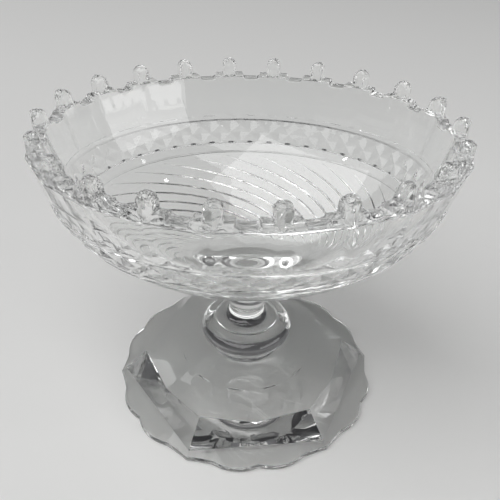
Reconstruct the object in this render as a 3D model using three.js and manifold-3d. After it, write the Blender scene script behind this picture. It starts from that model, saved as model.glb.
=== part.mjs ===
// Oval cut-glass fruit bowl on a knopped stem and a round, domed, scalloped foot.
// Millimetres, +Z up. The origin is the centre of the face that the foot stands on,
// the long axis of the bowl lies along X and the viewer faces +Y.

import * as THREE from 'three';
import { mergeVertices } from 'three/addons/utils/BufferGeometryUtils.js';
import Module from 'manifold-3d';

const wasm = await Module();
wasm.setup();

// Foot
const footFacets = 6;            // large flats, each over two scallops
const footCornerRadius = 96;     // axis to a pointed corner, where two flats meet
const footCuspRadius = 93.3;     // axis to the notch between two scallops
const footLobeRise = 3;          // swell of a scallop over its notch
const footLobeStart = 0.36;      // share of the way from a corner to a notch, where the scallop starts
const footEdgeHeight = 4.5;      // height of the scalloped edge
const footEdgeBevel = 1;         // small bevel under the edge
const footTurn = -23.7;          // degrees from the front to the first corner
const facetCornerRadius = 92;    // lower corners of the large flats
const facetFootZ = 6.5;
const facetTopRadius = 75.5;     // upper corners of the large flats
const facetTopZ = 23;
const facetMiddleRadius = 69.7;  // point where the upper edge of a flat bends down
const facetMiddleZ = 18.5;
const shoulderRadius = 50;       // twelve sloping flats end here, the dome above is round
const shoulderZ = 26.5;
const footHeight = 34.5;         // level of the joint to the lower collar
const footTopRadius = 24;
const domeRise = 2.5;            // the dome over its shoulder, before it turns up into the stem

// Stem
const lowerCollarRadius = 27;
const lowerCollarHeight = 3;
const knopRadius = 33;
const knopHeight = 17;
const knopBaseRadius = 24;
const knopTopRadius = 22.5;
const upperCollarHeight = 12;
const upperCollarEdge = 2;       // upright edge of the collar, on the knop
const waistRadius = 12;          // the narrowest place, where the bowl is joined on

// Bowl
const tabCount = 22;
const rimHalfLength = 130.5;     // outside of the tabs along X
const rimHalfWidth = 104.5;      // outside of the tabs along Y
const rimWall = 8.5;
const crestRise = 4;             // the tops of the tabs are rounded over, face to face, by this
const tabWidth = 10;             // across the round head of a tab
const tabTaper = 0.5;            // a tab narrows by this at each side, from its head to its foot
const tabHeight = 14;            // tab top above the floor of the notch
const tabFlatAngle = 75;         // degrees, where the round of a head ends in its small flat top
const notchShoulderWidth = 5;    // step at each side of a tab
const notchShoulderInside = 2.8; // that step above the floor of the notch, at the inside
const notchShoulderOutside = 3.2; // and at the outside
const notchCornerWidth = 2;      // hollow corner between the step and the floor
const rimBandHeight = 1;         // ledge to the floor of the notch
const ledge = 1.5;               // the panels stand proud of the rim band by this
const panelHeight = 27.5;
const panelFlare = 7.5;          // the panels lean out by this over their height
const bodyHeight = 69;           // curved body under the panels
const bodySlope = 37;            // degrees, underside of the body where it leaves the neck
const bodySwell = 45;            // how far the body keeps that slope before it turns up
const neckHeight = 34;           // solid neck between the waist and the body
const neckRadius = 37;
const neckBend = 10;             // length of the bend at each end of the neck
const bowlFloor = 35.5;          // glass under the middle of the inside, above the waist
const insideFlat = 44;           // reach of the level middle of the inside
const insideKneeIn = 10;         // bend of the inside: in from the inner face of the tabs
const insideKneeDown = 68;       // and down from where their tops turn over
const plainBand = 4.5;           // plain band under the panels
const lowerBand = 7.5;           // plain band under the diamonds
const bandRecess = 0.5;          // the plain bands lie this far behind the panels
const mitreWidth = 1.5;          // narrow cut rings that edge the bands
const mitreDepth = 0.75;
const diamondGap = 2;            // plain strip between the upper cut ring and the diamonds
const diamondHeight = 12;
const diamondDepth = 1.6;

// Fineness of the facets
const columnsPerPanel = 4;
const columnsPerLobe = 6;
const bodySteps = 5;
const neckSteps = 4;
const insideSteps = 9;
const domeSteps = 4;
const roundSteps = 5;            // steps of a quarter turn on the stem
const lengthStepsPerColumn = 20; // for measuring along the oval rim
const crestSteps = 3;            // steps from a face to the middle of a rounded top
const headSteps = 4;             // steps of each side of a round head
const notchSteps = 3;            // steps of each hollow corner of a notch
const turnedSides = 40;
const cutMargin = 3;             // the cutters reach past the glass by this
const samePoint = 1e-5;          // closer than this counts as the same place

// Levels of the joints, from the foot up
const lowerCollarTop = footHeight + lowerCollarHeight;
const knopTop = lowerCollarTop + knopHeight;
const waistZ = knopTop + upperCollarHeight;
const neckTop = waistZ + neckHeight;
const panelBase = neckTop + bodyHeight;
const panelTop = panelBase + panelHeight;
const notchFloor = panelTop + rimBandHeight;
const tabTop = notchFloor + tabHeight;
const crestBase = tabTop - crestRise;

// Half widths of the bowl
const panelTopHalfWidth = rimHalfWidth + ledge;
const panelBaseHalfWidth = panelTopHalfWidth - panelFlare;
const insideHalfWidth = rimHalfWidth - rimWall;
const ovalStretch = rimHalfLength - rimHalfWidth;

function glass(colour) {
  return new THREE.MeshStandardMaterial({ color: colour, roughness: 0.04, metalness: 0 });
}

function polar(radius, angle, z) {
  return new THREE.Vector3(radius * Math.sin(angle), -radius * Math.cos(angle), z);
}

// One closed body from rings that all have the same number of points. The first and the
// last ring are closed by a fan round a middle point. deep(ring, column) is true where a
// point lies in a cut, so that the edge across a square runs along the cut.
function loft(rings, firstMiddle, lastMiddle, deep = () => false) {
  const columns = rings[0].length;
  const points = [...rings.flat(), firstMiddle, lastMiddle];
  const first = points.length - 2;
  const last = points.length - 1;
  const faces = [];
  for (let column = 0; column < columns; column++) {
    const next = (column + 1) % columns;
    faces.push(first, column, next);
    for (let ring = 0; ring + 1 < rings.length; ring++) {
      const a = ring * columns + column;
      const b = ring * columns + next;
      const c = (ring + 1) * columns + next;
      const d = (ring + 1) * columns + column;
      if (deep(ring, next) && deep(ring + 1, column)) {
        faces.push(a, d, b, b, d, c);
      } else {
        faces.push(a, d, c, a, c, b);
      }
    }
    const top = (rings.length - 1) * columns;
    faces.push(last, top + next, top + column);
  }
  const geometry = new THREE.BufferGeometry().setFromPoints(points);
  geometry.setIndex(faces);
  return geometry;
}

function turned(profile) {
  const points = profile.map(([radius, z]) => new THREE.Vector2(radius, z));
  return new THREE.LatheGeometry(points, turnedSides).rotateX(Math.PI / 2);
}

function toSolid(geometry) {
  const bare = geometry.clone();
  bare.deleteAttribute('normal');
  bare.deleteAttribute('uv');
  const merged = mergeVertices(bare, samePoint);
  return new wasm.Manifold(new wasm.Mesh({
    numProp: 3,
    vertProperties: new Float32Array(merged.attributes.position.array),
    triVerts: new Uint32Array(merged.index.array),
  }));
}

function toGeometry(solid) {
  const mesh = solid.getMesh();
  const geometry = new THREE.BufferGeometry();
  geometry.setAttribute('position', new THREE.BufferAttribute(mesh.vertProperties, 3));
  geometry.setIndex(new THREE.BufferAttribute(mesh.triVerts, 1));
  return geometry;
}

function named(name, geometry, material) {
  geometry.computeVertexNormals();
  const mesh = new THREE.Mesh(geometry, material);
  mesh.name = name;
  return mesh;
}

// Foot: two scallops and two sloping flats to each large flat, and a round dome, flat below
function makeFoot() {
  const lobes = 2 * footFacets;
  const columns = lobes * columnsPerLobe;
  const sector = 2 * Math.PI / lobes;
  const facetStep = 2 * columnsPerLobe;
  const start = THREE.MathUtils.degToRad(footTurn);
  const angleOf = (column) => start + sector * column / columnsPerLobe;
  const ring = (place) => Array.from({ length: columns }, (_, column) => place(column));

  // From each pointed corner the edge curves in, swells to a scallop and ends in a notch
  const edgeRadius = (column) => {
    const place = (column % facetStep) / columnsPerLobe;
    const share = place > 1 ? 2 - place : place;
    if (share < footLobeStart) {
      return footCuspRadius + (footCornerRadius - footCuspRadius) * (1 - share / footLobeStart) ** 2;
    }
    const along = (share - footLobeStart) / (1 - footLobeStart);
    return footCuspRadius + footLobeRise * Math.sin(Math.PI * along);
  };
  const scallop = (inset, z) => ring((column) => polar(edgeRadius(column) - inset, angleOf(column), z));
  const circle = (radius, z) => ring((column) => polar(radius, angleOf(column), z));
  // Straight edges between corner points that stand every so many columns
  const polygon = (corner, step) => ring((column) => {
    const from = Math.floor(column / step) * step;
    return corner(from).lerp(corner(from + step), (column - from) / step);
  });

  const isCorner = (column) => column % facetStep === 0;
  const facetFoot = polygon((column) => polar(facetCornerRadius, angleOf(column), facetFootZ), facetStep);
  const facetTop = polygon((column) => (isCorner(column)
    ? polar(facetTopRadius, angleOf(column), facetTopZ)
    : polar(facetMiddleRadius, angleOf(column), facetMiddleZ)), columnsPerLobe);
  const shoulder = polygon((column) => polar(shoulderRadius, angleOf(column), shoulderZ), columnsPerLobe);

  const domeCurve = new THREE.CubicBezierCurve(
    new THREE.Vector2(shoulderRadius, shoulderZ),
    new THREE.Vector2((shoulderRadius + footTopRadius) / 2, shoulderZ + domeRise),
    new THREE.Vector2(footTopRadius, shoulderZ + domeRise),
    new THREE.Vector2(footTopRadius, footHeight),
  );
  const dome = [];
  for (let step = domeSteps; step > 0; step--) {
    const point = domeCurve.getPoint(step / domeSteps);
    dome.push(circle(point.x, point.y));
  }

  const rings = [
    ...dome,
    shoulder,
    facetTop,
    facetFoot,
    scallop(0, footEdgeHeight),
    scallop(0, footEdgeBevel),
    scallop(footEdgeBevel, 0),
  ];
  const topMiddle = new THREE.Vector3(0, 0, footHeight);
  const baseMiddle = new THREE.Vector3(0, 0, 0);
  return named('foot', loft(rings, topMiddle, baseMiddle), glass(0xdfe6e4));
}

// Thin rounded ring between the dome of the foot and the knop
function makeLowerCollar() {
  const bulge = lowerCollarRadius - footTopRadius;
  const half = lowerCollarHeight / 2;
  const profile = [[0, footHeight], [footTopRadius, footHeight]];
  for (let step = 1; step < roundSteps; step++) {
    const angle = Math.PI * step / roundSteps;
    profile.push([
      footTopRadius + bulge * Math.sin(angle),
      footHeight + half - half * Math.cos(angle),
    ]);
  }
  profile.push([knopBaseRadius, lowerCollarTop], [0, lowerCollarTop]);
  return named('lower_collar', turned(profile), glass(0xe2e8e6));
}

// Fat round knop
function makeKnop() {
  const half = knopHeight / 2;
  const profile = [[0, lowerCollarTop], [knopBaseRadius, lowerCollarTop]];
  for (let step = 1; step < 2 * roundSteps; step++) {
    const angle = Math.PI / 2 * step / roundSteps;
    const base = step < roundSteps ? knopBaseRadius : knopTopRadius;
    profile.push([
      base + (knopRadius - base) * Math.sin(angle),
      lowerCollarTop + half - half * Math.cos(angle),
    ]);
  }
  profile.push([knopTopRadius, knopTop], [0, knopTop]);
  return named('knop', turned(profile), glass(0xe6ebe9));
}

// Hollow-curved collar that spreads from the waist down to a sharp edge on the knop
function makeUpperCollar() {
  const profile = [[0, knopTop], [knopTopRadius, knopTop]];
  const coveHeight = upperCollarHeight - upperCollarEdge;
  for (let step = 0; step < roundSteps; step++) {
    const angle = Math.PI / 2 * step / roundSteps;
    profile.push([
      knopTopRadius - (knopTopRadius - waistRadius) * Math.sin(angle),
      waistZ - coveHeight * Math.cos(angle),
    ]);
  }
  profile.push([waistRadius, waistZ], [0, waistZ]);
  return named('upper_collar', turned(profile), glass(0xe6ebe9));
}

// Bowl: solid neck, curved oval body with a band of diamonds, flat panels and a tab over each corner
function makeBowl() {
  const columns = tabCount * columnsPerPanel;
  const rim = new THREE.EllipseCurve(0, 0, rimHalfLength, rimHalfWidth, -Math.PI / 2, Math.PI * 1.5);
  rim.arcLengthDivisions = columns * lengthStepsPerColumn;
  // Angle on the oval at a share of the way round, from the front towards +X; the tabs
  // stand at equal distances along the rim with the middle of a panel at the front
  const angleAt = (share) => rim.getUtoTmapping((share + 1) % 1) * 2 * Math.PI;
  const angles = Array.from({ length: columns }, (_, column) => (
    angleAt((column / columnsPerPanel - 0.5) / tabCount)));

  const ovalPoint = (halfWidth, stretch, column, z) => {
    const angle = angles[column % columns];
    return new THREE.Vector3((halfWidth + stretch) * Math.sin(angle), -halfWidth * Math.cos(angle), z);
  };
  const oval = (halfWidth, stretch, z) => angles.map((_, column) => ovalPoint(halfWidth, stretch, column, z));
  // Flat panels: straight lines between the corners under the tabs
  const flats = (halfWidth, z) => angles.map((_, column) => {
    const from = column - column % columnsPerPanel;
    const start = ovalPoint(halfWidth, ovalStretch, from, z);
    const end = ovalPoint(halfWidth, ovalStretch, from + columnsPerPanel, z);
    return start.lerp(end, (column - from) / columnsPerPanel);
  });

  const slope = THREE.MathUtils.degToRad(bodySlope);
  const bodyCurve = new THREE.CubicBezierCurve(
    new THREE.Vector2(neckRadius, neckTop),
    new THREE.Vector2(neckRadius + bodySwell * Math.cos(slope), neckTop + bodySwell * Math.sin(slope)),
    new THREE.Vector2(panelBaseHalfWidth - panelFlare, panelBase - panelHeight),
    new THREE.Vector2(panelBaseHalfWidth, panelBase),
  );
  // Place on the body at a height, found by halving the stretch that holds it
  const bodyAt = (z) => {
    let low = 0;
    let high = 1;
    while (high - low > samePoint) {
      const middle = (low + high) / 2;
      if (bodyCurve.getPoint(middle).y < z) low = middle;
      else high = middle;
    }
    return bodyCurve.getPoint(low).x;
  };
  // The neck is round, and the body turns oval on the way up to the panels
  const bodyStretch = (halfWidth) => ovalStretch
    * Math.sqrt(Math.max(0, (halfWidth - neckRadius) / (panelBaseHalfWidth - neckRadius)));
  const bodyRing = (z, cut = 0) => {
    const halfWidth = bodyAt(z);
    return oval(halfWidth - cut, bodyStretch(halfWidth), z);
  };
  // Relief diamonds, two to a panel: raised and cut points take turns along each row
  const diamondRow = (z, odd) => {
    const raised = bodyRing(z);
    const cut = bodyRing(z, diamondDepth);
    return raised.map((point, column) => (column % 2 === odd ? cut[column] : point));
  };

  const inside = new THREE.CubicBezierCurve(
    new THREE.Vector2(0, waistZ + bowlFloor),
    new THREE.Vector2(insideFlat, waistZ + bowlFloor),
    new THREE.Vector2(insideHalfWidth - insideKneeIn, crestBase - insideKneeDown),
    new THREE.Vector2(insideHalfWidth, crestBase),
  );
  const insideRings = [];
  for (let step = 1; step <= insideSteps; step++) {
    const point = inside.getPoint(step / insideSteps);
    insideRings.push(oval(point.x, ovalStretch * point.x / insideHalfWidth, point.y));
  }
  // Over the rounded top, from the inner face to the flat outer face
  const crestRings = [];
  for (let step = 1; step < 2 * crestSteps; step++) {
    const angle = Math.PI / 2 * step / crestSteps;
    const z = crestBase + crestRise * Math.sin(angle);
    const inner = oval(insideHalfWidth, ovalStretch, z);
    const outer = flats(rimHalfWidth, z);
    const share = (1 - Math.cos(angle)) / 2;
    crestRings.push(inner.map((point, column) => point.lerp(outer[column], share)));
  }

  const neckCurve = new THREE.CubicBezierCurve(
    new THREE.Vector2(waistRadius, waistZ),
    new THREE.Vector2(waistRadius, waistZ + neckBend),
    new THREE.Vector2(neckRadius - neckBend * Math.cos(slope), neckTop - neckBend * Math.sin(slope)),
    new THREE.Vector2(neckRadius, neckTop),
  );
  const neckRings = [];
  for (let step = neckSteps - 1; step >= 0; step--) {
    const point = neckCurve.getPoint(step / neckSteps);
    neckRings.push(oval(point.x, 0, point.y));
  }

  const upperRing = panelBase - plainBand;
  const bandTop = upperRing - diamondGap;
  const bandBase = bandTop - diamondHeight;
  const bodyTop = bandBase - lowerBand;
  const bodyRings = [];
  for (let step = 0; step <= bodySteps; step++) {
    bodyRings.push(bodyRing(bodyTop + (neckTop - bodyTop) * step / bodySteps));
  }
  const diamonds = [
    diamondRow(bandTop, 1),
    diamondRow((bandTop + bandBase) / 2, 0),
    diamondRow(bandBase, 1),
  ];
  const mitre = (z) => bodyRing(z, bandRecess + mitreDepth);
  const rings = [
    ...insideRings,
    ...crestRings,
    flats(rimHalfWidth, crestBase),
    flats(rimHalfWidth, panelTop),
    flats(panelTopHalfWidth, panelTop),
    flats(panelBaseHalfWidth, panelBase),
    bodyRing(panelBase - bandRecess, bandRecess),
    bodyRing(upperRing + mitreWidth, bandRecess),
    mitre(upperRing + mitreWidth / 2),
    bodyRing(upperRing),
    ...diamonds,
    mitre(bandBase - mitreWidth / 2),
    bodyRing(bandBase - mitreWidth, bandRecess),
    bodyRing(bodyTop + mitreWidth, bandRecess),
    mitre(bodyTop + mitreWidth / 2),
    ...bodyRings,
    ...neckRings,
  ];
  const isDeep = (ring, column) => {
    const row = diamonds.indexOf(rings[ring]);
    return row >= 0 && column % 2 === (row + 1) % 2;
  };
  const floorMiddle = new THREE.Vector3(0, 0, waistZ + bowlFloor);
  const waistMiddle = new THREE.Vector3(0, 0, waistZ);
  let solid = toSolid(loft(rings, floorMiddle, waistMiddle, isDeep));

  // The notches between the tabs, one cutter to a panel
  for (let panel = 0; panel < tabCount; panel++) {
    const corner = (halfWidth, step) => (
      ovalPoint(halfWidth, ovalStretch, (panel + step) * columnsPerPanel, 0));
    const from = corner(rimHalfWidth, 0);
    const to = corner(rimHalfWidth, 1);
    const insidePitch = corner(insideHalfWidth, 0).distanceTo(corner(insideHalfWidth, 1));
    const along = to.clone().sub(from);
    const turn = Math.atan2(along.y, along.x);
    const matrix = new THREE.Matrix4().makeRotationZ(turn).setPosition(from.lerp(to, 0.5));
    const cutter = notchCutter(along.length(), insidePitch).applyMatrix4(matrix);
    solid = solid.subtract(toSolid(cutter));
  }
  return named('bowl', toGeometry(solid), glass(0xe4eae8));
}

// All that lies above the rim between two tabs. X runs along the panel from its middle and
// Y goes in from the outer face of the rim
function notchCutter(outsidePitch, insidePitch) {
  const ring = (pitch, shoulder, depth) => {
    const left = notchEdge(shoulder).map(([along, height]) => (
      new THREE.Vector3(along - pitch / 2, depth, notchFloor + height)));
    const right = left.map((point) => new THREE.Vector3(-point.x, depth, point.z)).reverse();
    return [...left, ...right];
  };
  const rings = [
    ring(outsidePitch, notchShoulderOutside, -cutMargin),
    ring(outsidePitch, notchShoulderOutside, 0),
    ring(insidePitch, notchShoulderInside, rimWall),
    ring(insidePitch, notchShoulderInside, rimWall + cutMargin),
  ];
  const middle = (depth) => new THREE.Vector3(0, depth, notchFloor + tabHeight / 2);
  return loft(rings, middle(-cutMargin), middle(rimWall + cutMargin));
}

// Edge of a notch from over a tab down its round head and its side, over the step and down
// the hollow corner: distances from the middle of the tab and heights over the floor
function notchEdge(shoulder) {
  const head = tabWidth / 2;
  const headMiddle = tabHeight - head;
  const flatStart = THREE.MathUtils.degToRad(tabFlatAngle);
  const points = [[head * Math.cos(flatStart), tabHeight + cutMargin]];
  for (let step = 0; step <= headSteps; step++) {
    const angle = flatStart * (1 - step / headSteps);
    points.push([head * Math.cos(angle), headMiddle + head * Math.sin(angle)]);
  }
  points.push([head - tabTaper, shoulder]);
  const corner = head + notchShoulderWidth;
  for (let step = 0; step <= notchSteps; step++) {
    const angle = Math.PI / 2 * step / notchSteps;
    points.push([
      corner + notchCornerWidth * (1 - Math.cos(angle)),
      shoulder * (1 - Math.sin(angle)),
    ]);
  }
  return points;
}

const fruitBowl = new THREE.Group();
fruitBowl.add(makeFoot(), makeLowerCollar(), makeKnop(), makeUpperCollar(), makeBowl());

export default fruitBowl;
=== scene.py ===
# Oval cut-glass fruit bowl on a knopped stem and a domed, scalloped foot.
# The glass is measured in millimetres, which become metres when a mesh is made, and the stage
# in metres. The frame is the CAD frame: +Z up, +X along the long axis of the oval, +Y away
# from the viewer.

import math
import bpy
import numpy as np
from mathutils import Matrix, Vector


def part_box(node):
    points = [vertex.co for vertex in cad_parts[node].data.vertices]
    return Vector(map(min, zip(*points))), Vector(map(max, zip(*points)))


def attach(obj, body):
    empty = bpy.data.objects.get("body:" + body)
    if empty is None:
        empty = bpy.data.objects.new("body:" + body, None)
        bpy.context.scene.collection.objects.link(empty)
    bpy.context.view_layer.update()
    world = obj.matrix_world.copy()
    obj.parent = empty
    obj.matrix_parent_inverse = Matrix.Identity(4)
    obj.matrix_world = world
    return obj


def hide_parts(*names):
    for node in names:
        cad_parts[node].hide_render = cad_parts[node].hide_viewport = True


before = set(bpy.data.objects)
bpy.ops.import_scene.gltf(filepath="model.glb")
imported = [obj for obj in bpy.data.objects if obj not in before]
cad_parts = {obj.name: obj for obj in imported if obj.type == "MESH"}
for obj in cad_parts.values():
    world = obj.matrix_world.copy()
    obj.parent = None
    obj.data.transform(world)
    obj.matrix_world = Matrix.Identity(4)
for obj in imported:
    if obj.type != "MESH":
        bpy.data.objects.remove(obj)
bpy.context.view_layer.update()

MM = 0.001


def top_of(node):
    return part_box(node)[1][2] / MM


# Levels of the joints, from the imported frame
FOOT_TOP = top_of("foot")
LOWER_COLLAR_TOP = top_of("lower_collar")
KNOP_TOP = top_of("knop")
WAIST_Z = top_of("upper_collar")
TAB_TOP = top_of("bowl")

# Foot
FOOT_FLATS = 6                    # large flats, each over two scallops
FOOT_LOBES = 2 * FOOT_FLATS
FOOT_CORNER_RADIUS = 96.0         # axis to a pointed corner, where two flats meet
FOOT_CUSP_RADIUS = 93.3           # axis to the notch between two scallops
FOOT_LOBE_RISE = 3.0              # swell of a scallop over its notch
FOOT_LOBE_START = 0.36            # share of the way from a corner to a notch, where the scallop starts
FOOT_EDGE_HEIGHT = 4.5            # height of the scalloped edge
FOOT_EDGE_ROUND = 1.4             # bulge of that edge
FOOT_TURN = math.radians(-23.7)   # from the front to the first corner
FLAT_CORNER_RADIUS = 92.0         # lower corners of the large flats
FLAT_FOOT_Z = 6.5
FLAT_TOP_RADIUS = 75.5            # upper corners of the large flats
FLAT_TOP_Z = 23.0
FLAT_MIDDLE_RADIUS = 69.7         # point where the upper edge of a flat bends down
FLAT_MIDDLE_Z = 18.5
SHOULDER_RADIUS = 50.0            # twelve sloping flats end here, the dome above is round
SHOULDER_Z = 26.5
FOOT_TOP_RADIUS = 24.0
DOME_RISE = 2.5                   # the dome over its shoulder, before it turns up into the stem

# Stem
LOWER_COLLAR_RADIUS = 27.0
KNOP_RADIUS = 33.0
KNOP_BASE_RADIUS = 24.0
KNOP_TOP_RADIUS = 22.5
UPPER_COLLAR_EDGE = 2.0           # upright edge of the collar, on the knop
WAIST_RADIUS = 12.0               # the narrowest place, where the bowl is joined on

# Bowl
TABS = 22
RIM_HALF_LENGTH = 130.5           # outside of the tabs along X
RIM_HALF_WIDTH = 104.5            # outside of the tabs along Y
RIM_WALL = 8.5
TAB_HALF_WIDTH = 5.0              # half the breadth of a tab's round head
TAB_HEIGHT = 14.0                 # tab top above the floor of the notch
TAB_TAPER = 0.5                   # a tab narrows by this at each side, from its head to its foot
CREST_RISE = 4.0                  # the curve of the inside ends this far below the tops of the tabs
NOTCH_SHOULDER_WIDTH = 5.0        # step at each side of a tab
NOTCH_SHOULDER_INSIDE = 2.8       # that step above the floor of the notch, at the inside
NOTCH_SHOULDER_OUTSIDE = 3.2      # and at the outside
NOTCH_CORNER = 2.0                # hollow corner between the step and the floor
RIM_BAND = 1.0                    # ledge to the floor of the notch
LEDGE = 1.5                       # the panels stand proud of the rim by this
PANEL_HEIGHT = 27.5
PANEL_FLARE = 7.5                 # the panels lean out by this over their height
BODY_SLOPE = math.radians(37.0)   # underside of the body where it leaves the neck
BODY_SWELL = 45.0                 # how far the body keeps that slope before it turns up
NECK_HEIGHT = 34.0                # solid neck between the waist and the body
NECK_RADIUS = 37.0
NECK_BEND = 10.0                  # length of the bend at each end of the neck
BOWL_FLOOR = 35.5                 # glass under the middle of the inside, above the waist
INSIDE_FLAT = 44.0                # reach of the level middle of the inside
INSIDE_KNEE_IN = 10.0             # bend of the inside: in from the inner face of the tabs
INSIDE_KNEE_DOWN = 68.0           # and down from where its curve ends
PLAIN_BAND = 4.5                  # plain band under the panels
LOWER_BAND = 7.5                  # plain band under the diamonds
BAND_RECESS = 0.5                 # the plain bands lie this far behind the panels
GROOVE_HALF = 0.75                # half breadth of the narrow cut rings that edge the bands
GROOVE_DEPTH = 0.75
DIAMOND_GAP = 2.0                 # strip between the upper cut ring and the diamonds
DIAMOND_HEIGHT = 12.0
DIAMOND_DEPTH = 1.6

# Worked out from the sizes of the bowl
OVAL_STRETCH = RIM_HALF_LENGTH - RIM_HALF_WIDTH
NOTCH_SHOULDER_END = TAB_HALF_WIDTH + NOTCH_SHOULDER_WIDTH
NECK_TOP = WAIST_Z + NECK_HEIGHT
INSIDE_FLOOR = WAIST_Z + BOWL_FLOOR
CREST_BASE = TAB_TOP - CREST_RISE
NOTCH_FLOOR = TAB_TOP - TAB_HEIGHT
PANEL_TOP = NOTCH_FLOOR - RIM_BAND
PANEL_BASE = PANEL_TOP - PANEL_HEIGHT
UPPER_RING = PANEL_BASE - PLAIN_BAND
BAND_TOP = UPPER_RING - DIAMOND_GAP
BAND_BASE = BAND_TOP - DIAMOND_HEIGHT
BODY_TOP = BAND_BASE - LOWER_BAND
PANEL_TOP_HALF_WIDTH = RIM_HALF_WIDTH + LEDGE
PANEL_BASE_HALF_WIDTH = PANEL_TOP_HALF_WIDTH - PANEL_FLARE
INSIDE_HALF_WIDTH = RIM_HALF_WIDTH - RIM_WALL

# Finer cuts that only the visual model has
TAB_ROUND = 1.2                   # softened sides of the tabs and notches
HEAD_ROUND = 3.0                  # drop of a tab's round top towards its two faces
HEAD_DEPTH = 0.47                 # reach of that rounding into the wall, as a share of it
EDGE_DEPTH = 0.14                 # the same for the other edges of the rim
EDGE_DROP = 0.5                   # drop of the notch's edges
NOTCH_FILLET = 0.3                # softened corner between a tab and the step beside it
TAB_LEAN = 0.35                   # how steeply the two faces of a tab fall back from its ridge
TAB_SLOPE = 0.95                  # rise of the V at the foot of a tab
PANEL_BEVEL = 0.3                 # softened upper edge of the panels
ARRIS = 0.4                       # half breadth of the softened edges between the panels
FLUTES = 24                       # swirl flutes under the bowl
FLUTE_TWIST = math.radians(2.55)  # turn for each millimetre that the half width shrinks
FLUTE_TIP = 1.5                   # the pointed tips lie this far in from the ring, in half width
FLUTE_GROWTH = 10.0               # half width over which a flute reaches its full breadth
FLUTE_HALF = 2.0                  # half breadth of a full flute
FLUTE_NARROWEST = 0.15            # half breadth that its columns keep where no flute is cut
FLUTE_DEPTH = 1.8
FLUTE_END = 41.0                  # half width where the flutes have run out, near the neck
FLUTE_FADE = 6.0                  # half width over which they do so

# Columns of the meshes. Those of the bowl divide evenly into panels, diamonds and flutes.
PANEL_COLUMNS = 24
COLUMNS = TABS * PANEL_COLUMNS
DIAMOND_COLUMNS = PANEL_COLUMNS // 2
FLUTE_COLUMNS = COLUMNS // FLUTES
HEAD_STEPS = 5                    # columns over half of a tab's round head
V_COLUMNS = HEAD_STEPS + 1        # columns that the V at a tab's foot crosses
SIDE_COLUMN = HEAD_STEPS + 2      # column at the lower end of a tab's side
EASE_COLUMNS = 3                  # columns over which a head's rounding turns into a notch's
LOBE_COLUMNS = 24
STEM_COLUMNS = 128

# Rows of the meshes, from the inside over the rim and down to the foot
INSIDE_STEPS = 44
INNER_PANEL_STEPS = 4
INNER_RIM_STEPS = 5
EDGE_TURNS = (30.0, 60.0, 90.0)   # degrees from a face to the outline of the rim
RIM_ROWS = 9
PANEL_STEPS = 8
SPREAD_SHARE = 0.25               # upper share of a panel in which its columns spread evenly
BODY_STEPS = 56
GATHER_STEPS = 3                  # rows in which the columns gather towards the flutes
NECK_STEPS = 16
COVE_STEPS = 24
KNOP_STEPS = 40
COLLAR_STEPS = 16
DOME_STEPS = 20
UPPER_FLAT_STEPS = 3
LARGE_FLAT_STEPS = 5
EDGE_FLAT_STEPS = 5
EDGE_ROUND_STEPS = 12

# Fineness of the curves that levels and lengths are read from
RIM_SAMPLES = 7200
CURVE_SAMPLES = 2000
SLOPE_REACH = 1.0                 # the slope of the body is read this far to each side

# Edges that turn by more than this are sharp
TURNED_CREASE = math.radians(25.0)
CUT_CREASE = math.radians(9.0)

# Numbers of the materials of a piece
GLASS_FINISH = 0
SEAM_FINISH = 1
RING_FINISH = 2                   # in the diamonds and the cut rings
FLUTE_FINISH = 3                  # in the swirl flutes
SAME_LEVEL = 1e-6                 # metres, closer than this counts as the same level


# Curves

def bezier(points, steps):
    """Points along a cubic curve at evenly spaced steps, both ends included."""
    share = np.linspace(0.0, 1.0, steps + 1)[:, None]
    rest = 1 - share
    first, second, third, last = (np.array(point, float) for point in points)
    near = first * rest ** 3 + 3 * second * share * rest ** 2
    return near + 3 * third * share * share * rest + last * share ** 3


def lengths_along(x, y):
    """Length of a line of points before each of them."""
    return np.concatenate(([0.0], np.cumsum(np.hypot(np.diff(x), np.diff(y)))))


# Oval rows

def rim_lengths():
    """Angles round the oval, the share of the rim's length before each, and that length."""
    angles = np.linspace(0.0, 2.0 * math.pi, RIM_SAMPLES + 1)
    x = RIM_HALF_LENGTH * np.sin(angles)
    y = -RIM_HALF_WIDTH * np.cos(angles)
    lengths = lengths_along(x, y)
    return angles, lengths / lengths[-1], lengths[-1]


RIM_ANGLES, RIM_SHARES, RIM_LENGTH = rim_lengths()
PITCH = RIM_LENGTH / TABS
EVEN_PLACES = np.arange(COLUMNS) / PANEL_COLUMNS


def angles_at(places):
    """Angle from the front for places counted in panels. Tabs stand at whole numbers."""
    shares = (np.asarray(places, float) - 0.5) / TABS
    laps = np.floor(shares)
    return np.interp(shares - laps, RIM_SHARES, RIM_ANGLES) + 2.0 * math.pi * laps


def oval(half_width, stretch, places, z):
    angles = angles_at(places)
    x = (half_width + stretch) * np.sin(angles)
    y = -half_width * np.cos(angles)
    return np.stack([x, y, np.broadcast_to(z, x.shape)], axis=1)


def flats(half_width, places, z):
    """Straight panels between the corners under the tabs."""
    start = np.floor(places)
    share = (places - start)[:, None]
    first = oval(half_width, OVAL_STRETCH, start, z)
    second = oval(half_width, OVAL_STRETCH, start + 1.0, z)
    return first * (1.0 - share) + second * share


# Meshes

def square_faces(corner, beside, opposite, below, falling):
    """A square in one face, or in two triangles along its falling or its rising diagonal."""
    if falling is None:
        return [(corner, below, opposite, beside)]
    if falling:
        return [(corner, below, opposite), (corner, opposite, beside)]
    return [(corner, below, beside), (beside, below, opposite)]


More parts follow.
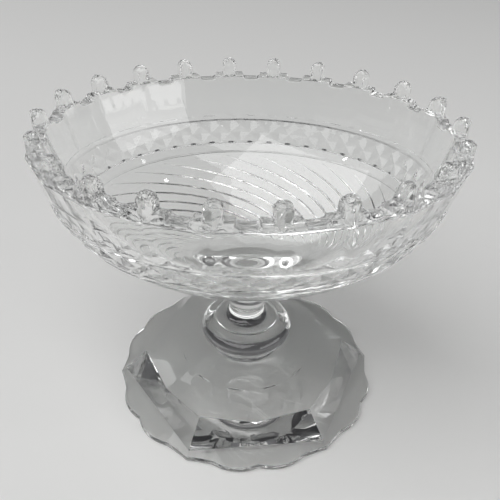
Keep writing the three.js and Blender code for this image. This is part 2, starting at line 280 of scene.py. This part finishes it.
def grid_piece(name, rings, first_middle, last_middle, crease, splits=None, cuts=None):
    """Closed mesh from rings of equal length, with a fan at each end.

    splits maps (ring, column) to True or False for a square that is cut along its falling
    or its rising diagonal, so that a crease runs along it. cuts[ring, column] is the number
    of the material that a square takes.
    """
    rows, columns = len(rings), len(rings[0])
    points = np.concatenate([*rings, [first_middle], [last_middle]]) * MM
    faces = []
    finishes = []
    for ring in range(rows - 1):
        for column in range(columns):
            after = (column + 1) % columns
            corner = ring * columns + column
            beside = ring * columns + after
            falling = splits.get((ring, column)) if splits else None
            finish = GLASS_FINISH if cuts is None else int(cuts[ring, column])
            square = square_faces(corner, beside, beside + columns, corner + columns, falling)
            faces += square
            finishes += [finish] * len(square)
    first = rows * columns
    last = first + 1
    last_ring = first - columns
    for column in range(columns):
        after = (column + 1) % columns
        faces.append((first, column, after))
        faces.append((last, last_ring + after, last_ring + column))
        finishes += [GLASS_FINISH, GLASS_FINISH]
    mesh = bpy.data.meshes.new(name)
    mesh.from_pydata(points.tolist(), [], faces)
    mesh.polygons.foreach_set("material_index", finishes)
    mesh.shade_smooth()
    mesh.set_sharp_from_angle(angle=crease)
    mesh.validate()
    piece = bpy.data.objects.new(name, mesh)
    bpy.context.collection.objects.link(piece)
    return piece


def turned_piece(name, profile):
    """A turned piece from a profile of (radius, z) rows, closed flat at both ends."""
    angles = np.linspace(0.0, 2.0 * math.pi, STEM_COLUMNS, endpoint=False)
    around = np.stack([np.sin(angles), -np.cos(angles)], axis=1)
    rings = []
    for radius, z in profile:
        rings.append(np.column_stack([around * radius, np.full(STEM_COLUMNS, z)]))
    low = (0.0, 0.0, profile[0][1])
    high = (0.0, 0.0, profile[-1][1])
    return grid_piece(name, rings[::-1], high, low, TURNED_CREASE)


# Rim of the bowl

def rim_outline(shoulder):
    """Half of the rim's outline from a tab's middle to a notch's middle: (along, above the
    ledge), one point to a column."""
    side_top = RIM_BAND + TAB_HEIGHT - TAB_HALF_WIDTH
    level = RIM_BAND + shoulder
    points = []
    for step in range(HEAD_STEPS + 1):
        angle = math.pi / 2 * step / HEAD_STEPS
        points.append((TAB_HALF_WIDTH * math.sin(angle), side_top + TAB_HALF_WIDTH * math.cos(angle)))
    side = TAB_HALF_WIDTH - TAB_TAPER
    points.append((side, max(TAB_SLOPE * side, level + 2.0 * NOTCH_FILLET)))
    points.append((side, level + NOTCH_FILLET))
    points.append((side + NOTCH_FILLET, level))
    points.append((NOTCH_SHOULDER_END, level))
    halfway = math.radians(45.0)
    points.append((
        NOTCH_SHOULDER_END + NOTCH_CORNER * (1.0 - math.cos(halfway)),
        level - shoulder * math.sin(halfway),
    ))
    points.append((NOTCH_SHOULDER_END + NOTCH_CORNER, RIM_BAND))
    points.append((PITCH / 2.0, RIM_BAND))
    return np.array(points)


def outline_normals(points):
    """Unit vectors out of the glass, square to the outline."""
    mirrored_start = points[1] * (-1.0, 1.0)
    mirrored_end = np.array([PITCH - points[-2][0], points[-2][1]])
    padded = np.vstack([mirrored_start, points, mirrored_end])
    along = padded[2:] - padded[:-2]
    normals = np.stack([-along[:, 1], along[:, 0]], axis=1)
    return normals / np.linalg.norm(normals, axis=1)[:, None]


def all_columns(half_values):
    """Values for every column from those of half a panel."""
    panel = np.concatenate([half_values, half_values[1:-1][::-1]])
    return np.tile(panel, TABS)


class Outline:
    """The rim's outline on one face of the wall, one point to a column of half a panel.

    half runs from a tab's middle to a notch's middle. inset is the same, drawn in to where the
    face begins. foot holds the columns' distances along the ledge, and pitches the straight
    distances from tab to tab.
    """

    def __init__(self, shoulder, half_width):
        self.half = rim_outline(shoulder)
        columns = np.arange(len(self.half))
        drop = np.where(columns <= HEAD_STEPS, HEAD_ROUND, EDGE_DROP)
        inwards = np.stack([np.full(len(drop), TAB_ROUND), drop], axis=1)
        self.inset = self.half - outline_normals(self.half) * inwards
        side = self.half[SIDE_COLUMN][0]
        self.foot = np.where(columns <= SIDE_COLUMN, side * columns / SIDE_COLUMN, self.half[:, 0])
        corners = oval(half_width, OVAL_STRETCH, np.arange(TABS + 1), 0.0)
        self.pitches = np.linalg.norm(np.diff(corners, axis=0), axis=1)

    def places(self, distances):
        """Places in panels for distances from a tab's middle, with the notch's middle halfway."""
        shares = distances[None, :] / self.pitches[:, None]
        shares[:, -1] = 0.5
        mirrored = 1.0 - shares[:, 1:-1][:, ::-1]
        return (np.arange(TABS)[:, None] + np.hstack([shares, mirrored])).ravel()


OUTER = Outline(NOTCH_SHOULDER_OUTSIDE, RIM_HALF_WIDTH)
INNER = Outline(NOTCH_SHOULDER_INSIDE, INSIDE_HALF_WIDTH)


def outer_face():
    """Rows of the rim's outer face from the ledge up: distances along, heights over the ledge
    and how far the face falls back. On a tab the rows bend along a V from its foot."""
    columns = np.arange(len(OUTER.half))
    top_along, top = OUTER.inset.T
    share = np.minimum(columns, V_COLUMNS) / RIM_ROWS
    crossing = np.minimum(TAB_SLOPE * (OUTER.foot * (1.0 - share) + top_along * share), top)
    rows = []
    for row in range(RIM_ROWS + 1):
        along = OUTER.foot + (top_along - OUTER.foot) * row / RIM_ROWS
        below = crossing * row / np.maximum(columns, 1)
        above = crossing + (top - crossing) * (row - columns) / np.maximum(RIM_ROWS - columns, 1)
        on_tab = np.where(row <= columns, below, above)
        height = np.where(columns <= V_COLUMNS, on_tab, top * row / RIM_ROWS)
        rows.append((along, height, TAB_LEAN * np.minimum(TAB_SLOPE * along, height)))
    return rows


OUTER_FACE = outer_face()


def inside_curve(steps):
    return bezier([
        (0.0, INSIDE_FLOOR),
        (INSIDE_FLAT, INSIDE_FLOOR),
        (INSIDE_HALF_WIDTH - INSIDE_KNEE_IN, CREST_BASE - INSIDE_KNEE_DOWN),
        (INSIDE_HALF_WIDTH, CREST_BASE),
    ], steps)


INSIDE_CURVE = inside_curve(CURVE_SAMPLES)


def inside_oval(half_width, places, z):
    return oval(half_width, OVAL_STRETCH * half_width / INSIDE_HALF_WIDTH, places, z)


def inside_row(places, z):
    return inside_oval(np.interp(z, INSIDE_CURVE[:, 1], INSIDE_CURVE[:, 0]), places, z)


def inside_rows():
    """The inside from near its middle up to the level of the panels' foot."""
    rows = []
    for half_width, z in inside_curve(INSIDE_STEPS)[1:]:
        if z < PANEL_BASE:
            rows.append(inside_oval(half_width, EVEN_PLACES, z))
    return rows


def inner_rim_rows():
    """The inside from the panels' foot up to where the rounded edge begins."""
    rows = []
    foot = INNER.places(INNER.foot)
    for step in range(INNER_PANEL_STEPS + 1):
        share = step / INNER_PANEL_STEPS
        places = EVEN_PLACES * (1.0 - share) + foot * share
        z = PANEL_BASE + (PANEL_TOP - PANEL_BASE) * share
        rows.append(inside_row(places, np.full(COLUMNS, z)))
    for step in range(1, INNER_RIM_STEPS + 1):
        share = step / INNER_RIM_STEPS
        along = INNER.foot + (INNER.inset[:, 0] - INNER.foot) * share
        z = PANEL_TOP + all_columns(INNER.inset[:, 1] * share)
        rows.append(inside_row(INNER.places(along), z))
    return rows


def edge_row(depth, turn, lean):
    """One row of the rounded edge. Turn 0 lies on a face and turn 90 on the outline, depth 0 on
    the flat outer face and depth 1 on the oval inner one."""
    share = math.sin(math.radians(turn))
    outer_points = OUTER.inset + (OUTER.half - OUTER.inset) * share
    inner_points = INNER.inset + (INNER.half - INNER.inset) * share
    outer_z = PANEL_TOP + all_columns(outer_points[:, 1])
    inner_z = PANEL_TOP + all_columns(inner_points[:, 1])
    outer = flats(RIM_HALF_WIDTH - lean, OUTER.places(outer_points[:, 0]), outer_z)
    inner = inside_row(INNER.places(inner_points[:, 0]), inner_z)
    across = all_columns(depth)[:, None]
    return outer * (1.0 - across) + inner * across


def rim_edge_rows():
    """Over the tabs and notches from the inner face to the outer one."""
    columns = np.arange(len(OUTER.half))
    past_head = np.clip((columns - HEAD_STEPS + 1) / EASE_COLUMNS, 0.0, 1.0)
    reach = HEAD_DEPTH + (EDGE_DEPTH - HEAD_DEPTH) * past_head
    lean = all_columns(OUTER_FACE[-1][2])
    depths = [reach * (1.0 - math.cos(math.radians(turn))) for turn in EDGE_TURNS]
    rows = []
    for depth, turn in zip(depths, EDGE_TURNS):
        rows.append(edge_row(1.0 - depth, turn, lean))
    rows.append(edge_row(np.full(len(columns), 0.5), EDGE_TURNS[-1], lean))
    for depth, turn in zip(depths[::-1], EDGE_TURNS[::-1]):
        rows.append(edge_row(depth, turn, lean))
    return rows


def outer_rim_rows():
    """The outer face of the rim from the rounded edge down to the ledge."""
    rows = []
    for along, height, lean in OUTER_FACE[::-1]:
        half_width = RIM_HALF_WIDTH - all_columns(lean)
        rows.append(flats(half_width, OUTER.places(along), PANEL_TOP + all_columns(height)))
    return rows


# Outside of the bowl below the rim

def panel_rows():
    """The flat panels, with the columns beside each corner drawn in to soften it."""
    top_places = OUTER.places(OUTER.foot)
    column = np.arange(COLUMNS) % PANEL_COLUMNS
    arris = ARRIS / PITCH
    even = np.where(column == 1, np.floor(EVEN_PLACES) + arris, EVEN_PLACES)
    even = np.where(column == PANEL_COLUMNS - 1, np.ceil(EVEN_PLACES) - arris, even)
    softened = np.where(column == 0, ARRIS * math.tan(math.pi / TABS), 0.0)
    rows = [flats(PANEL_TOP_HALF_WIDTH - PANEL_BEVEL, top_places, np.full(COLUMNS, PANEL_TOP))]
    for step in range(PANEL_STEPS + 1):
        share = step / PANEL_STEPS
        spread = min(1.0, share / SPREAD_SHARE)
        places = top_places + (even - top_places) * spread
        z = PANEL_TOP - PANEL_BEVEL - (PANEL_HEIGHT - PANEL_BEVEL) * share
        half_width = PANEL_TOP_HALF_WIDTH - PANEL_FLARE * share - softened * spread
        rows.append(flats(half_width, places, np.full(COLUMNS, z)))
    return rows


def body_curve():
    return bezier([
        (NECK_RADIUS, NECK_TOP),
        (NECK_RADIUS + BODY_SWELL * math.cos(BODY_SLOPE), NECK_TOP + BODY_SWELL * math.sin(BODY_SLOPE)),
        (PANEL_BASE_HALF_WIDTH - PANEL_FLARE, PANEL_BASE - PANEL_HEIGHT),
        (PANEL_BASE_HALF_WIDTH, PANEL_BASE),
    ], CURVE_SAMPLES)


BODY_CURVE = body_curve()


def body_half_width(z):
    return np.interp(z, BODY_CURVE[:, 1], BODY_CURVE[:, 0])


def body_stretch(half_width):
    """How much the half length of the body exceeds its half width there: nothing at the neck."""
    share = (half_width - NECK_RADIUS) / (PANEL_BASE_HALF_WIDTH - NECK_RADIUS)
    return OVAL_STRETCH * np.sqrt(np.clip(share, 0.0, None))


def body_row(z, cut=0.0):
    half_width = body_half_width(z)
    return oval(half_width - cut, body_stretch(half_width), EVEN_PLACES, z)


def upper_band_rows():
    """A plain band under the panels, with a cut ring at its foot, down to the strip over the diamonds."""
    return [
        body_row(PANEL_BASE - BAND_RECESS, BAND_RECESS),
        body_row(UPPER_RING + 2.0 * GROOVE_HALF, BAND_RECESS),
        body_row(UPPER_RING + GROOVE_HALF, BAND_RECESS + GROOVE_DEPTH),
        body_row(UPPER_RING),
    ]


def lower_band_rows():
    """A plain band under the diamonds, between two cut rings."""
    return [
        body_row(BAND_BASE - GROOVE_HALF, BAND_RECESS + GROOVE_DEPTH),
        body_row(BAND_BASE - 2.0 * GROOVE_HALF, BAND_RECESS),
        body_row(BODY_TOP + 2.0 * GROOVE_HALF, BAND_RECESS),
        body_row(BODY_TOP + GROOVE_HALF, BAND_RECESS + GROOVE_DEPTH),
    ]


# Columns past the middle of a diamond
ACROSS_DIAMOND = (np.arange(COLUMNS) + DIAMOND_COLUMNS // 2) % DIAMOND_COLUMNS


def diamond_rows():
    """Crossing mitre cuts that leave a row of four-sided points."""
    across = ACROSS_DIAMOND / DIAMOND_COLUMNS
    rows = []
    for row in range(DIAMOND_COLUMNS + 1):
        down = row / DIAMOND_COLUMNS
        to_cut = np.minimum(np.abs(down - across), np.abs(1.0 - down - across))
        cut = DIAMOND_DEPTH * (1.0 - 2.0 * to_cut)
        rows.append(body_row(BAND_TOP - DIAMOND_HEIGHT * down, cut))
    return rows


# Columns from the middle of a flute
FROM_FLUTE = np.arange(COLUMNS) % FLUTE_COLUMNS - FLUTE_COLUMNS // 2


def flute_places(share):
    """Places of the columns round the body when each flute's half breadth is a share of its
    pitch: the column in its middle, one on each edge and the rest spread evenly between."""
    rest = share + (0.5 - share) * (np.abs(FROM_FLUTE) - 1) / (FLUTE_COLUMNS // 2 - 1)
    offset = np.sign(FROM_FLUTE) * np.where(FROM_FLUTE == 0, 0.0, rest)
    flute = np.arange(COLUMNS) // FLUTE_COLUMNS
    return (flute + 0.5 + offset) * TABS / FLUTES


def swirl(half_width):
    """How far the flutes have turned by then, in panels."""
    return TABS * FLUTE_TWIST * (body_half_width(BODY_TOP) - half_width) / (2.0 * math.pi)


def flute_rows():
    """The body from the ring under the diamonds to the neck, its columns turned along the swirl.
    Gives the rows and, for each, whether the flutes are cut there."""
    start = body_half_width(BODY_TOP)
    half_widths, levels = BODY_CURVE[BODY_CURVE[:, 0] <= start][::-1].T
    lengths = lengths_along(half_widths, levels)
    rows = []
    is_cut = []
    for step in range(BODY_STEPS + 1):
        length = lengths[-1] * step / BODY_STEPS
        half_width = np.interp(length, lengths, half_widths)
        z = np.interp(length, lengths, levels)
        nearby = [length - SLOPE_REACH, length + SLOPE_REACH]
        ahead = np.diff(np.interp(nearby, lengths, half_widths))[0]
        fall = np.diff(np.interp(nearby, lengths, levels))[0]
        normal = np.array([-fall, ahead]) / math.hypot(ahead, fall)
        grown = np.clip((start - FLUTE_TIP - half_width) / FLUTE_GROWTH, 0.0, 1.0)
        grown *= np.clip((half_width - FLUTE_END) / FLUTE_FADE, 0.0, 1.0)
        stretch = body_stretch(half_width)
        pitch = 2.0 * math.pi * (half_width + stretch / 2.0) / FLUTES
        share = max(FLUTE_HALF * grown, FLUTE_NARROWEST) / pitch
        gather = min(1.0, step / GATHER_STEPS)
        places = EVEN_PLACES + (flute_places(share) - EVEN_PLACES) * gather - swirl(half_width)
        cut = np.where(FROM_FLUTE == 0, FLUTE_DEPTH * grown, 0.0)
        rows.append(oval(half_width - cut * normal[0], stretch, places, z - cut * normal[1]))
        is_cut.append(grown > 0.0)
    return rows, is_cut


def neck_rows():
    curve = bezier([
        (NECK_RADIUS, NECK_TOP),
        (NECK_RADIUS - NECK_BEND * math.cos(BODY_SLOPE), NECK_TOP - NECK_BEND * math.sin(BODY_SLOPE)),
        (WAIST_RADIUS, WAIST_Z + NECK_BEND),
        (WAIST_RADIUS, WAIST_Z),
    ], NECK_STEPS)
    places = flute_places(1.0 / FLUTE_COLUMNS) - swirl(NECK_RADIUS)
    return [oval(radius, 0.0, places, z) for radius, z in curve[1:]]


# The whole bowl

def tab_splits(outer_start):
    """Diagonals along the V at the foot of each tab."""
    splits = {}
    for panel in range(TABS):
        for column in range(V_COLUMNS):
            ring = outer_start + RIM_ROWS - column - 1
            splits[(ring, panel * PANEL_COLUMNS + column)] = False
            splits[(ring, (panel + 1) * PANEL_COLUMNS - column - 1)] = True
    return splits


def diamond_splits(band_start):
    """Diagonals along the crossing cuts between the diamonds."""
    splits = {}
    for column, across in enumerate(ACROSS_DIAMOND.tolist()):
        splits[(band_start + across, column)] = True
        splits[(band_start + DIAMOND_COLUMNS - 1 - across, column)] = False
    return splits


def cut_squares(ring_count, band_start, lower_start, body_start, is_cut):
    """The number of the material for each square of the bowl."""
    cuts = np.full((ring_count, COLUMNS), GLASS_FINISH)
    cuts[band_start:lower_start] = RING_FINISH
    for bottom in (band_start - 2, lower_start, body_start - 1):
        cuts[bottom - 1:bottom + 1] = RING_FINISH
    in_flute = (FROM_FLUTE == -1) | (FROM_FLUTE == 0)
    for row in range(len(is_cut) - 1):
        if is_cut[row] or is_cut[row + 1]:
            cuts[body_start + row, in_flute] = FLUTE_FINISH
    return cuts


def make_bowl():
    body, is_cut = flute_rows()
    before_outer = [*inside_rows(), *inner_rim_rows(), *rim_edge_rows()]
    before_band = [*before_outer, *outer_rim_rows(), *panel_rows(), *upper_band_rows()]
    before_lower = [*before_band, *diamond_rows()]
    before_body = [*before_lower, *lower_band_rows()]
    rings = [*before_body, *body, *neck_rows()]
    splits = {**tab_splits(len(before_outer)), **diamond_splits(len(before_band))}
    cuts = cut_squares(len(rings), len(before_band), len(before_lower), len(before_body), is_cut)
    floor_middle = (0.0, 0.0, INSIDE_FLOOR)
    waist_middle = (0.0, 0.0, WAIST_Z)
    return grid_piece("bowl_glass", rings, floor_middle, waist_middle, CUT_CREASE, splits, cuts)


# Stem

def swelling(low, high, low_radius, radius, high_radius, steps):
    """(radius, z) rows of a round swelling between two levels."""
    half = (high - low) / 2.0
    profile = []
    for angle in np.linspace(0.0, math.pi, steps + 1):
        end = low_radius if angle < math.pi / 2 else high_radius
        profile.append((end + (radius - end) * math.sin(angle), low + half - half * math.cos(angle)))
    return profile


def make_lower_collar():
    radii = (FOOT_TOP_RADIUS, LOWER_COLLAR_RADIUS, KNOP_BASE_RADIUS)
    return turned_piece("lower_collar_glass", swelling(FOOT_TOP, LOWER_COLLAR_TOP, *radii, COLLAR_STEPS))


def make_knop():
    radii = (KNOP_BASE_RADIUS, KNOP_RADIUS, KNOP_TOP_RADIUS)
    return turned_piece("knop_glass", swelling(LOWER_COLLAR_TOP, KNOP_TOP, *radii, KNOP_STEPS))


def make_upper_collar():
    profile = [(KNOP_TOP_RADIUS, KNOP_TOP)]
    cove = WAIST_Z - KNOP_TOP - UPPER_COLLAR_EDGE
    for angle in np.linspace(0.0, math.pi / 2, COVE_STEPS + 1):
        radius = KNOP_TOP_RADIUS - (KNOP_TOP_RADIUS - WAIST_RADIUS) * math.sin(angle)
        profile.append((radius, WAIST_Z - cove * math.cos(angle)))
    return turned_piece("upper_collar_glass", profile)


# Foot

FOOT_PLACES = np.arange(FOOT_LOBES * LOBE_COLUMNS) / LOBE_COLUMNS


def foot_point(radius, places, z):
    """Points for places counted in scallops. The pointed corners stand at even numbers."""
    angles = FOOT_TURN + 2.0 * math.pi / FOOT_LOBES * places
    x = radius * np.sin(angles)
    y = -radius * np.cos(angles)
    return np.stack([x, y, np.broadcast_to(z, x.shape)], axis=1)


def foot_corners(places, corner, middle):
    """Points with the (radius, z) of corner at even places and that of middle at odd ones."""
    is_corner = places % 2 == 0
    radius = np.where(is_corner, corner[0], middle[0])
    z = np.where(is_corner, corner[1], middle[1])
    return foot_point(radius, places, z)


def foot_polygon(corner, middle, spacing):
    """Straight edges between points that stand every so many scallops."""
    start = np.floor(FOOT_PLACES / spacing) * spacing
    share = ((FOOT_PLACES - start) / spacing)[:, None]
    first = foot_corners(start, corner, middle)
    second = foot_corners(start + spacing, corner, middle)
    return first * (1.0 - share) + second * share


def scallop_radius():
    """From a pointed corner the edge curves in, swells to a scallop and ends in a notch."""
    place = FOOT_PLACES % 2.0
    share = np.where(place > 1.0, 2.0 - place, place)
    corner = (FOOT_CORNER_RADIUS - FOOT_CUSP_RADIUS) * np.clip(1.0 - share / FOOT_LOBE_START, 0.0, 1.0) ** 2
    along = np.clip((share - FOOT_LOBE_START) / (1.0 - FOOT_LOBE_START), 0.0, 1.0)
    return FOOT_CUSP_RADIUS + corner + FOOT_LOBE_RISE * np.sin(math.pi * along)


def between(first, second, steps):
    """Rings after the first one, up to the second."""
    return [first + (second - first) * step / steps for step in range(1, steps + 1)]


def make_foot():
    dome = bezier([
        (FOOT_TOP_RADIUS, FOOT_TOP),
        (FOOT_TOP_RADIUS, SHOULDER_Z + DOME_RISE),
        ((SHOULDER_RADIUS + FOOT_TOP_RADIUS) / 2.0, SHOULDER_Z + DOME_RISE),
        (SHOULDER_RADIUS, SHOULDER_Z),
    ], DOME_STEPS)
    shoulder_corner = (SHOULDER_RADIUS, SHOULDER_Z)
    flat_corner = (FLAT_CORNER_RADIUS, FLAT_FOOT_Z)
    shoulder = foot_polygon(shoulder_corner, shoulder_corner, 1)
    flat_top = foot_polygon((FLAT_TOP_RADIUS, FLAT_TOP_Z), (FLAT_MIDDLE_RADIUS, FLAT_MIDDLE_Z), 1)
    flat_foot = foot_polygon(flat_corner, flat_corner, 2)
    edge = scallop_radius()
    upper_edge = foot_point(edge - FOOT_EDGE_ROUND, FOOT_PLACES, FOOT_EDGE_HEIGHT)
    rings = [foot_point(radius, FOOT_PLACES, z) for radius, z in dome[:-1]]
    rings.append(shoulder)
    rings += between(shoulder, flat_top, UPPER_FLAT_STEPS)
    rings += between(flat_top, flat_foot, LARGE_FLAT_STEPS)
    rings += between(flat_foot, upper_edge, EDGE_FLAT_STEPS)
    middle = FOOT_EDGE_HEIGHT / 2.0
    for angle in np.linspace(0.0, math.pi, EDGE_ROUND_STEPS + 1)[1:-1]:
        radius = edge - FOOT_EDGE_ROUND + FOOT_EDGE_ROUND * math.sin(angle)
        rings.append(foot_point(radius, FOOT_PLACES, middle + middle * math.cos(angle)))
    rings.append(foot_point(edge - FOOT_EDGE_ROUND, FOOT_PLACES, 0.0))
    top_middle = (0.0, 0.0, FOOT_TOP)
    base_middle = (0.0, 0.0, 0.0)
    return grid_piece("foot_glass", rings, top_middle, base_middle, CUT_CREASE)


# Materials

GLASS_IOR = 1.54
DEEP_TINT = (0.955, 0.965, 0.960, 1.0)
PALE_TINT = (0.995, 0.995, 0.990, 1.0)
FLOOR_COLOUR = (0.76, 0.76, 0.75, 1.0)
HORIZON_COLOUR = (0.16, 0.16, 0.165, 1.0)
OVERHEAD_COLOUR = (0.03, 0.03, 0.032, 1.0)


def new_material(name):
    material = bpy.data.materials.new(name)
    material.use_nodes = True
    return material


def noise(tree, place, scale, detail):
    """A noise pattern that keeps its place on the piece."""
    pattern = tree.nodes.new("ShaderNodeTexNoise")
    pattern.inputs["Scale"].default_value = scale
    pattern.inputs["Detail"].default_value = detail
    tree.links.new(place.outputs["Object"], pattern.inputs["Vector"])
    return pattern.outputs["Fac"]


def blend(tree, value, start, start_colour, end, end_colour):
    """A colour that turns into another while a value goes from start to end."""
    ramp = tree.nodes.new("ShaderNodeValToRGB")
    first, last = ramp.color_ramp.elements
    first.position = start
    first.color = start_colour
    last.position = end
    last.color = end_colour
    tree.links.new(value, ramp.inputs["Fac"])
    return ramp.outputs["Color"]


def glass_material(name, ripple_scale, ripple, smoothest, roughest):
    """Clear lead glass: a faint tint and haze that drift through it, and a soft ripple."""
    material = new_material(name)
    tree = material.node_tree
    shader = tree.nodes["Principled BSDF"]
    shader.inputs["Transmission Weight"].default_value = 1.0
    shader.inputs["IOR"].default_value = GLASS_IOR
    place = tree.nodes.new("ShaderNodeTexCoord")

    drift = noise(tree, place, scale=9.0, detail=3.0)
    tint = blend(tree, drift, start=0.3, start_colour=DEEP_TINT, end=0.7, end_colour=PALE_TINT)
    tree.links.new(tint, shader.inputs["Base Color"])

    polish = tree.nodes.new("ShaderNodeMapRange")
    polish.inputs["From Min"].default_value = 0.45
    polish.inputs["From Max"].default_value = 0.8
    polish.inputs["To Min"].default_value = smoothest
    polish.inputs["To Max"].default_value = roughest
    haze = noise(tree, place, scale=60.0, detail=5.0)
    tree.links.new(haze, polish.inputs["Value"])
    tree.links.new(polish.outputs["Result"], shader.inputs["Roughness"])

    bump = tree.nodes.new("ShaderNodeBump")
    bump.inputs["Strength"].default_value = ripple
    bump.inputs["Distance"].default_value = MM
    waves = noise(tree, place, scale=ripple_scale, detail=2.0)
    tree.links.new(waves, bump.inputs["Height"])
    tree.links.new(bump.outputs["Normal"], shader.inputs["Normal"])
    return material


def seam_material():
    """Glass fused to glass has no surface: what passes the seam goes straight on."""
    material = new_material("fused_seam")
    nodes = material.node_tree.nodes
    nodes.remove(nodes["Principled BSDF"])
    clear = nodes.new("ShaderNodeBsdfTransparent")
    material.node_tree.links.new(clear.outputs["BSDF"], nodes["Material Output"].inputs["Surface"])
    return material


def floor_material():
    material = new_material("pale_floor")
    shader = material.node_tree.nodes["Principled BSDF"]
    shader.inputs["Roughness"].default_value = 0.9
    shader.inputs["Specular IOR Level"].default_value = 0.1
    shader.inputs["Base Color"].default_value = FLOOR_COLOUR
    return material


def dress(piece, node, glass, seam, seam_levels, wheel_finishes=()):
    """Gives a piece its glass, and the seam's clear finish to the faces where it is fused on."""
    for material in (glass, seam, *wheel_finishes):
        piece.data.materials.append(material)
    for face in piece.data.polygons:
        heights = [piece.data.vertices[corner].co.z for corner in face.vertices]
        for level in seam_levels:
            if max(abs(height - level * MM) for height in heights) < SAME_LEVEL:
                face.material_index = SEAM_FINISH
    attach(piece, "root")
    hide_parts(node)


# The part

bowl_glass = glass_material("bowl_glass", ripple_scale=55.0, ripple=0.06, smoothest=0.0, roughest=0.03)
wheel_cut = glass_material("wheel_cut", ripple_scale=300.0, ripple=0.10, smoothest=0.02, roughest=0.10)
flute_cut = glass_material("flute_cut", ripple_scale=300.0, ripple=0.15, smoothest=0.04, roughest=0.14)
stem_glass = glass_material("stem_glass", ripple_scale=70.0, ripple=0.10, smoothest=0.0, roughest=0.03)
foot_glass = glass_material("foot_glass", ripple_scale=40.0, ripple=0.10, smoothest=0.0, roughest=0.05)
seam = seam_material()
dress(make_bowl(), "bowl", bowl_glass, seam, [WAIST_Z], [wheel_cut, flute_cut])
dress(make_upper_collar(), "upper_collar", stem_glass, seam, [KNOP_TOP, WAIST_Z])
dress(make_knop(), "knop", stem_glass, seam, [LOWER_COLLAR_TOP, KNOP_TOP])
dress(make_lower_collar(), "lower_collar", stem_glass, seam, [FOOT_TOP, LOWER_COLLAR_TOP])
dress(make_foot(), "foot", foot_glass, seam, [FOOT_TOP])

# Stage, in metres

FLOOR_HALF = 6.0
FLOOR_GAP = 0.0002                # the floor lies this far below the face that the foot stands on


def make_floor():
    mesh = bpy.data.meshes.new("floor")
    corners = [(-FLOOR_HALF, -FLOOR_HALF, 0.0), (FLOOR_HALF, -FLOOR_HALF, 0.0),
               (FLOOR_HALF, FLOOR_HALF, 0.0), (-FLOOR_HALF, FLOOR_HALF, 0.0)]
    mesh.from_pydata(corners, [], [(0, 1, 2, 3)])
    floor = bpy.data.objects.new("floor", mesh)
    bpy.context.collection.objects.link(floor)
    mesh.materials.append(floor_material())
    floor.location.z = -FLOOR_GAP


def make_world():
    """A pale horizon that darkens overhead, as in a studio with soft boxes."""
    world = bpy.data.worlds.new("studio")
    bpy.context.scene.world = world
    world.use_nodes = True
    tree = world.node_tree
    place = tree.nodes.new("ShaderNodeTexCoord")
    axes = tree.nodes.new("ShaderNodeSeparateXYZ")
    tree.links.new(place.outputs["Generated"], axes.inputs["Vector"])
    height = axes.outputs["Z"]
    sky = blend(tree, height, start=0.0, start_colour=HORIZON_COLOUR, end=0.6, end_colour=OVERHEAD_COLOUR)
    background = tree.nodes["Background"]
    tree.links.new(sky, background.inputs["Color"])
    background.inputs["Strength"].default_value = 1.0


def soft_box(name, place, target, size, power):
    lamp = bpy.data.lights.new(name, "AREA")
    lamp.shape = "RECTANGLE"
    lamp.size, lamp.size_y = size
    lamp.energy = power
    box = bpy.data.objects.new(name, lamp)
    bpy.context.collection.objects.link(box)
    box.location = place
    direction = Vector(target) - box.location
    box.rotation_euler = direction.to_track_quat("-Z", "Y").to_euler()


def make_camera():
    """The photograph's viewpoint, solved from the rim and the foot."""
    viewpoint = (0.0, -0.3353, 0.3536)
    pitch = 0.6225
    roll = 0.0201
    image_side = 500.0
    focal_pixels = 604.73
    middle_pixel = 247.68
    data = bpy.data.cameras.new("camera")
    data.sensor_width = 36.0
    data.lens = data.sensor_width * focal_pixels / image_side
    data.shift_x = (image_side / 2.0 - middle_pixel) / image_side
    data.clip_start = 0.01
    camera = bpy.data.objects.new("camera", data)
    bpy.context.collection.objects.link(camera)
    tilt = Matrix.Rotation(math.pi / 2 - pitch, 4, "X")
    camera.matrix_world = Matrix.Translation(viewpoint) @ tilt @ Matrix.Rotation(roll, 4, "Z")
    bpy.context.scene.camera = camera


make_floor()
make_world()
soft_box("overhead", place=(-1.8, -1.6, 4.4), target=(0.0, 0.0, 0.1), size=(8.0, 4.8), power=310.0)
soft_box("side", place=(2.05, -1.2, 0.75), target=(-0.08, 0.05, 0.19), size=(2.4, 0.9), power=16.0)
soft_box("glint_left", place=(-1.1, -0.5, 0.9), target=(0.0, 0.0, 0.15), size=(0.05, 0.05), power=0.5)
soft_box("glint_right", place=(1.0, -0.3, 1.2), target=(0.0, 0.0, 0.15), size=(0.05, 0.05), power=0.5)
make_camera()

scene = bpy.context.scene
scene.view_settings.view_transform = "Standard"

# Enough bounces for light that passes many walls of glass
scene.cycles.max_bounces = 32
scene.cycles.transmission_bounces = 32
scene.cycles.glossy_bounces = 16
scene.cycles.transparent_max_bounces = 32
